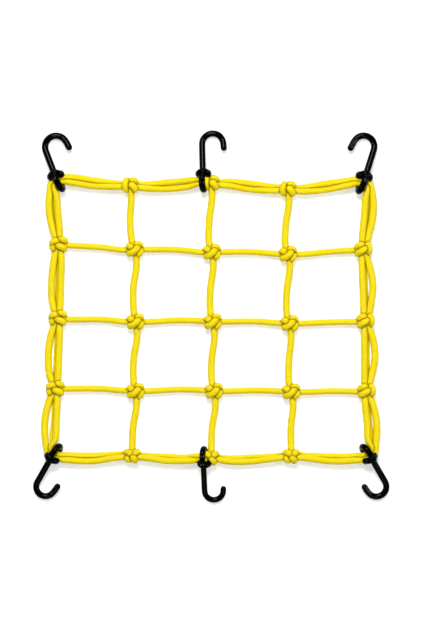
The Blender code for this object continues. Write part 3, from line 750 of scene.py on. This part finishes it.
def cord_faces(first, rings, closed, pitches):
    """Faces of a cord's side and open ends, and the braid's coordinates at their corners."""
    faces, braid = [], []
    for i in range(rings if closed else rings - 1):
        here, there = first + i * AROUND, first + ((i + 1) % rings) * AROUND
        low, high = pitches[i], pitches[i + 1]
        for k in range(AROUND):
            after = (k + 1) % AROUND
            faces.append((here + k, here + after, there + after, there + k))
            left, right = k / AROUND, (k + 1) / AROUND
            braid += [(left, low), (right, low), (right, high), (left, high)]
    for ring, turn in () if closed else ((0, -1), (rings - 1, 1)):
        around = list(range(AROUND))[::turn]
        faces.append(tuple(first + ring * AROUND + k for k in around))
        braid += [(k / AROUND, pitches[ring]) for k in around]
    return faces, braid


def woven_piece(name, tubes, pitch, neighbours, wires):
    """One mesh of round cords.

    It carries the braid's own coordinates, turns round the cord and pitches along it, and how deep
    each place lies between touching cords, which the material paints as shade.
    """
    vertices, faces, braid, owners = [], [], [], []
    for number, (line, radii, closed) in enumerate(tubes):
        if not closed:
            line, radii = with_caps(line, radii)
        lengths = [0.0]
        for a, b in zip(line, line[1:] + line[:1]):
            lengths.append(lengths[-1] + (b - a).length)
        whole = max(1, round(lengths[-1] / pitch)) / lengths[-1] if closed else 1.0 / pitch
        pitches = [length * whole for length in lengths]
        new_faces, new_braid = cord_faces(len(vertices), len(line), closed, pitches)
        faces += new_faces
        braid += new_braid
        vertices += cord_skin(line, radii, closed, number, lengths)
        owners += [number] * (len(line) * AROUND)
    crease_shades = crease_shade_depths(vertices, owners, neighbours)
    for point in vertices:
        keep_clear(point, wires)
        point.z = max(point.z, 0.0)
    mesh = bpy.data.meshes.new(name)
    mesh.from_pydata([point * MM for point in vertices], [], faces)
    layer = mesh.uv_layers.new(name="braid")
    layer.data.foreach_set("uv", [number for pair in braid for number in pair])
    # Attribute that the material darkens as painted shade between touching cords
    depth = mesh.attributes.new("crease_shade", "FLOAT", "POINT")
    depth.data.foreach_set("value", crease_shades)
    mesh.shade_smooth()
    piece = bpy.data.objects.new(name, mesh)
    bpy.context.scene.collection.objects.link(piece)
    return piece


def crease_shade_depths(vertices, owners, neighbours):
    """Mask of the painted shade: how close each place lies to the skin of another cord, 1 where
    they touch, 0 out of reach.
    """
    tree, places, offset = neighbours
    widest = max(radius for radius, number in places)
    depths = []
    for point, owner in zip(vertices, owners):
        clear = CREASE_SHADE_REACH
        for _, i, distance in tree.find_range(point, widest + CREASE_SHADE_REACH):
            radius, number = places[i]
            if number != owner + offset:
                clear = min(clear, distance - radius)
        depths.append(1.0 - max(clear, 0.0) / CREASE_SHADE_REACH)
    return depths


def keep_clear(point, wires):
    """Moves a place on a cord's skin out of the hooks' wires."""
    tree, places = wires
    middle, i, distance = tree.find(point)
    radius, _ = places[i]
    room = radius + GAP
    if 0.0 < distance < room:
        point += (point - middle) * (room / distance - 1.0)


def dressed(piece, material, nodes):
    """Gives a finished piece its material, and its place in the frame."""
    piece.data.materials.clear()
    piece.data.materials.append(material)
    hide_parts(*nodes)
    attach(piece, "root")


class Nodes:
    """Short ways to lay out a material's nodes."""

    def __init__(self, name):
        self.material = bpy.data.materials.new(name)
        self.material.use_nodes = True
        self.tree = self.material.node_tree
        self.shader = self.tree.nodes["Principled BSDF"]

    def add(self, kind, **settings):
        """A new node with these settings."""
        node = self.tree.nodes.new(kind)
        for key, value in settings.items():
            setattr(node, key, value)
        return node

    def feed(self, socket, value):
        """Links an output to the socket, or sets it to a number or colour."""
        if isinstance(value, bpy.types.NodeSocket):
            self.tree.links.new(value, socket)
        else:
            socket.default_value = value

    def shade(self, **values):
        """Feeds the shader's sockets; a socket's name has underscores for its spaces."""
        for name, value in values.items():
            self.feed(self.shader.inputs[name.replace("_", " ")], value)

    def math(self, operation, *values):
        """The result of a sum or the like."""
        node = self.add("ShaderNodeMath", operation=operation)
        for socket, value in zip(node.inputs, values):
            self.feed(socket, value)
        return node.outputs[0]

    def mix(self, factor, *colours):
        """A mixture of two colours."""
        node = self.add("ShaderNodeMix", data_type="RGBA")
        self.feed(node.inputs["Factor"], factor)
        for number, colour in zip(MIX_COLOURS, colours):
            linked = isinstance(colour, bpy.types.NodeSocket)
            self.feed(node.inputs[number], colour if linked else (*colour, 1.0))
        return node.outputs[MIXED_COLOUR]

    def noise(self, scale, detail=2.0, roughness=0.5):
        """Noise on the piece's own coordinates, about 0.5."""
        node = self.add("ShaderNodeTexNoise")
        where = self.add("ShaderNodeTexCoord")
        self.feed(node.inputs["Vector"], where.outputs["Object"])
        for socket, value in (("Scale", scale), ("Detail", detail), ("Roughness", roughness)):
            self.feed(node.inputs[socket], value)
        return node.outputs["Fac"]

    def bump(self, height, strength, distance):
        """Gives the shader a relief."""
        node = self.add("ShaderNodeBump")
        for socket, value in (("Strength", strength), ("Distance", distance), ("Height", height)):
            self.feed(node.inputs[socket], value)
        self.shade(Normal=node.outputs[0])


def braided_cord(settings):
    """Matte woven sheath: crossing strands, a little uneven in colour, with painted shade between
    touching cords and in the braid's gaps.
    """
    known = bpy.data.materials.get("braided cord")
    if known:
        return known
    n = Nodes("braided cord")
    uv = n.add("ShaderNodeUVMap", uv_map="braid")
    split = n.add("ShaderNodeSeparateXYZ")
    n.feed(split.inputs[0], uv.outputs[0])
    turns = n.math("MULTIPLY", split.outputs[0], float(settings.strands))
    one_way = n.math("ADD", turns, split.outputs[1])
    other_way = n.math("SUBTRACT", turns, split.outputs[1])

    def waves(across, count):
        return n.math("SINE", n.math("MULTIPLY", across, count * math.pi))

    product = n.math("MULTIPLY", waves(one_way, 1.0), waves(other_way, 1.0))
    swell = n.math("POWER", n.math("ABSOLUTE", product), STRAND_ROUNDNESS)
    fibres = n.add("ShaderNodeMix", data_type="FLOAT")
    n.feed(fibres.inputs["Factor"], n.math("GREATER_THAN", product, 0.0))
    n.feed(fibres.inputs["A"], waves(one_way, FIBRES))
    n.feed(fibres.inputs["B"], waves(other_way, FIBRES))
    relief = n.math("ADD", swell, n.math("MULTIPLY", fibres.outputs[0], FIBRE_RELIEF))

    patches = n.math("MULTIPLY", n.noise(PATCH_SCALE, detail=3.0), PATCH_STRENGTH)
    flecks = n.add("ShaderNodeClamp")
    n.feed(flecks.inputs[0],
           n.math("MULTIPLY", n.math("SUBTRACT", n.noise(FLECK_SCALE), 0.5), FLECK_CONTRAST))
    # Painted shade in the braid's gaps, darker where its relief is low
    gaps = n.math("MULTIPLY", n.math("SUBTRACT", 1.0, swell), WEAVE_GAP_SHADE_STRENGTH)
    sheath = n.mix(patches, settings.yellow, PATCH_COLOUR)
    sheath = n.mix(flecks.outputs[0], sheath, FLECK_COLOUR)
    sheath = n.mix(gaps, sheath, WEAVE_GAP_SHADE_COLOUR)
    # Painted shade where cords press on each other, deepest where they touch
    crease_shade = n.add("ShaderNodeAttribute", attribute_name="crease_shade").outputs["Fac"]
    fuzz = n.math("MULTIPLY", n.noise(FUZZ_SCALE), FUZZ_ROUGHNESS)
    n.shade(
        Base_Color=n.mix(n.math("POWER", crease_shade, CREASE_SHADE_SHARPNESS), sheath, settings.shade),
        Roughness=n.math("ADD", fuzz, CORD_ROUGHNESS),
        Specular_IOR_Level=CORD_SPECULAR,
        Sheen_Weight=SHEEN,
        Sheen_Roughness=SHEEN_ROUGHNESS,
        Sheen_Tint=(*SHEEN_COLOUR, 1.0),
    )
    n.bump(relief, 1.0, settings.relief)
    return n.material


def dipped_coat(settings):
    """Glossy black plastic that the bent wire was dipped in, a little wavy, scuffed in places."""
    n = Nodes("dipped black coat")
    cloud = n.noise(CLOUD_SCALE, detail=3.0)
    scratches = n.noise(SCUFF_SCALE, detail=6.0, roughness=0.65)
    scuffs = n.math("GREATER_THAN", scratches, SCUFF_FROM)
    worn = n.math("MULTIPLY", scuffs, SCUFF_STRENGTH)
    lighter = tuple(min(1.0, c * FADED_TIMES + FADED_PLUS) for c in settings.coat)
    faded = n.math("MAXIMUM", n.math("MULTIPLY", cloud, CLOUD_STRENGTH), worn)
    rubbed = n.math("ADD", n.math("MULTIPLY", worn, SCUFF_ROUGHNESS), settings.gloss)
    n.shade(
        Base_Color=n.mix(faded, settings.coat, lighter),
        Roughness=n.math("ADD", n.math("MULTIPLY", cloud, CLOUD_ROUGHNESS), rubbed),
        Specular_IOR_Level=COAT_SPECULAR,
    )
    n.bump(n.noise(WAVE_SCALE), WAVE_STRENGTH, WAVE_HEIGHT)
    return n.material


def add_cords(context, name, tubes, before):
    """Makes and dresses one piece of cord; so many of the net's tubes come before its own."""
    settings = context.scene.luggage_net_cord
    tree, places = spine_tree(single_cords() + rim_cords() + knot_lobes())
    wires = spine_tree([tube for row in HOOK_PLACES for tube in hook_tubes(*row)])
    piece = woven_piece(name, tubes, settings.pitch / MM, (tree, places, before), wires)
    dressed(piece, braided_cord(settings), ["net"])


class LUGGAGE_NET_OT_single_cords(bpy.types.Operator):
    """Builds the rows and columns of single cord"""

    bl_idname = "luggage_net.single_cords"
    bl_label = "Cords across the net"

    def execute(self, context):
        add_cords(context, "single_cords", single_cords(), 0)
        return {"FINISHED"}


class LUGGAGE_NET_OT_rim_cords(bpy.types.Operator):
    """Builds the doubled rim and the third cords of its left and right side"""

    bl_idname = "luggage_net.rim_cords"
    bl_label = "Cords of the rim"

    def execute(self, context):
        add_cords(context, "rim_cords", rim_cords(), len(single_cords()))
        return {"FINISHED"}


class LUGGAGE_NET_OT_knots(bpy.types.Operator):
    """Builds the wrapped lobes of cord on every knot"""

    bl_idname = "luggage_net.knots"
    bl_label = "Knots"

    def execute(self, context):
        before = len(single_cords() + rim_cords())
        add_cords(context, "knots", knot_lobes() + knot_cores(), before)
        return {"FINISHED"}


def bent_wire(name, line, radii, tip):
    """A bevelled curve along the line, made a mesh. Its start is rounded off where it is a tip."""
    if tip:
        rounds = cap(line[0], line[1], radii[0], 1.0, (*CAP_ANGLES, WIRE_TIP_ANGLE))[::-1]
        line = [point for point, radius in rounds] + line
        radii = [radius for point, radius in rounds] + radii
    bpy.ops.curve.primitive_nurbs_path_add()
    curve = bpy.context.object
    curve.name = name
    curve.data.splines.clear()
    spline = curve.data.splines.new("POLY")
    spline.points.add(len(line) - 1)
    for place, point, radius in zip(spline.points, line, radii):
        place.co = (*(point * MM), 1.0)
        place.radius = radius
    curve.data.bevel_depth = MM
    curve.data.bevel_resolution = WIRE_BEVEL
    curve.data.use_fill_caps = True
    curve.data.twist_mode = "MINIMUM"
    bpy.ops.object.convert(target="MESH")
    return bpy.context.object


class LUGGAGE_NET_OT_hooks(bpy.types.Operator):
    """Builds the six dipped wire hooks"""

    bl_idname = "luggage_net.hooks"
    bl_label = "Hooks"

    def execute(self, context):
        settings = context.scene.luggage_net_hook
        coat = dipped_coat(settings)
        for row in HOOK_PLACES:
            name = row[0]
            (line, radii, _), (collar, collar_radii, _) = hook_tubes(*row)
            deselect()
            hook = bent_wire(name + "_coat", line, radii, True)
            deselect()
            wrapped = bent_wire("collar", collar, collar_radii, False)
            deselect()
            wrapped.select_set(True)
            hook.select_set(True)
            context.view_layer.objects.active = hook
            bpy.ops.object.join()
            melt = hook.modifiers.new("melt", "REMESH")
            melt.mode = "VOXEL"
            melt.voxel_size = settings.grain
            soften = hook.modifiers.new("soften", "SMOOTH")
            soften.factor = SOFTEN_FACTOR
            soften.iterations = SOFTEN_ROUNDS
            for modifier in ("melt", "soften"):
                bpy.ops.object.modifier_apply(modifier=modifier)
            for vertex in hook.data.vertices:
                vertex.co.z = max(vertex.co.z, 0.0)
            bpy.ops.object.shade_smooth()
            dressed(hook, coat, [name])
        return {"FINISHED"}


class LUGGAGE_NET_OT_stage(bpy.types.Operator):
    """Lays the floor, hangs the lights and sets the camera"""

    bl_idname = "luggage_net.stage"
    bl_label = "Floor, lights and camera"

    def execute(self, context):
        settings = context.scene.luggage_net_stage
        deselect()
        bpy.ops.mesh.primitive_plane_add(size=FLOOR_SIZE)
        floor = context.object
        floor.name = "floor"
        n = Nodes("plain floor")
        n.shade(
            Base_Color=(*settings.floor, 1.0),
            Roughness=FLOOR_ROUGHNESS,
            Specular_IOR_Level=FLOOR_SPECULAR,
            Emission_Color=(1.0, 1.0, 1.0, 1.0),
            Emission_Strength=settings.glow,
        )
        floor.data.materials.append(n.material)

        for name, azimuth, elevation, size, share, glint_only in LIGHTS:
            rise = math.radians(elevation)
            way = direction(math.radians(azimuth)) * math.cos(rise)
            way.z = math.sin(rise)
            bpy.ops.object.light_add(type="AREA", location=way * LIGHT_DISTANCE)
            lamp = context.object
            lamp.name = name
            lamp.rotation_euler = way.to_track_quat("Z", "Y").to_euler()
            lamp.data.shape = "DISK"
            lamp.data.size = size
            lamp.data.energy = share * settings.light
            lamp.visible_camera = False
            lamp.visible_diffuse = not glint_only

        world = bpy.data.worlds.new("pale room")
        world.use_nodes = True
        room = world.node_tree.nodes["Background"]
        room.inputs["Color"].default_value = ROOM_COLOUR
        room.inputs["Strength"].default_value = ROOM_LIGHT
        context.scene.world = world
        context.scene.view_settings.view_transform = "Standard"
        context.scene.view_settings.look = "Medium High Contrast"

        data = bpy.data.cameras.new("camera")
        camera = bpy.data.objects.new("camera", data)
        context.scene.collection.objects.link(camera)
        x, y, height = PICTURE_MIDDLE
        camera.location = (x, y, height + settings.distance)
        data.sensor_width = SENSOR
        data.lens = SENSOR * settings.distance / PICTURE_HEIGHT
        context.scene.camera = camera
        return {"FINISHED"}


class LUGGAGE_NET_PT_panel(bpy.types.Panel):
    """Lists the net's pieces in the sidebar"""

    bl_idname = "LUGGAGE_NET_PT_panel"
    bl_label = "Luggage Net"
    bl_space_type = "VIEW_3D"
    bl_region_type = "UI"
    bl_category = "Luggage Net"

    def draw(self, context):
        """Draws each group's settings with the operators that use them."""
        for group, names in GROUPS.items():
            settings = getattr(context.scene, group)
            for key in settings.__annotations__:
                self.layout.prop(settings, key)
            for name in names:
                self.layout.operator(f"luggage_net.{name}")


# The scene's settings, with the operators that use them in the order in which they run
GROUPS = {
    "luggage_net_cord": ("single_cords", "rim_cords", "knots"),
    "luggage_net_hook": ("hooks",),
    "luggage_net_stage": ("stage",),
}
SETTINGS = {
    "luggage_net_cord": LuggageNetCord,
    "luggage_net_hook": LuggageNetHook,
    "luggage_net_stage": LuggageNetStage,
}
CLASSES = (
    *SETTINGS.values(),
    LUGGAGE_NET_OT_single_cords,
    LUGGAGE_NET_OT_rim_cords,
    LUGGAGE_NET_OT_knots,
    LUGGAGE_NET_OT_hooks,
    LUGGAGE_NET_OT_stage,
    LUGGAGE_NET_PT_panel,
)


def register():
    """Adds the classes, and their settings to every scene."""
    for kind in CLASSES:
        bpy.utils.register_class(kind)
    for key, kind in SETTINGS.items():
        setattr(bpy.types.Scene, key, PointerProperty(type=kind))


def unregister():
    """Takes them away again."""
    for key in SETTINGS:
        delattr(bpy.types.Scene, key)
    for kind in reversed(CLASSES):
        bpy.utils.unregister_class(kind)


def main():
    """Builds every piece and the stage."""
    register()
    deselect()
    for names in GROUPS.values():
        for name in names:
            getattr(bpy.ops.luggage_net, name)()


if __name__ == "__main__":
    main()
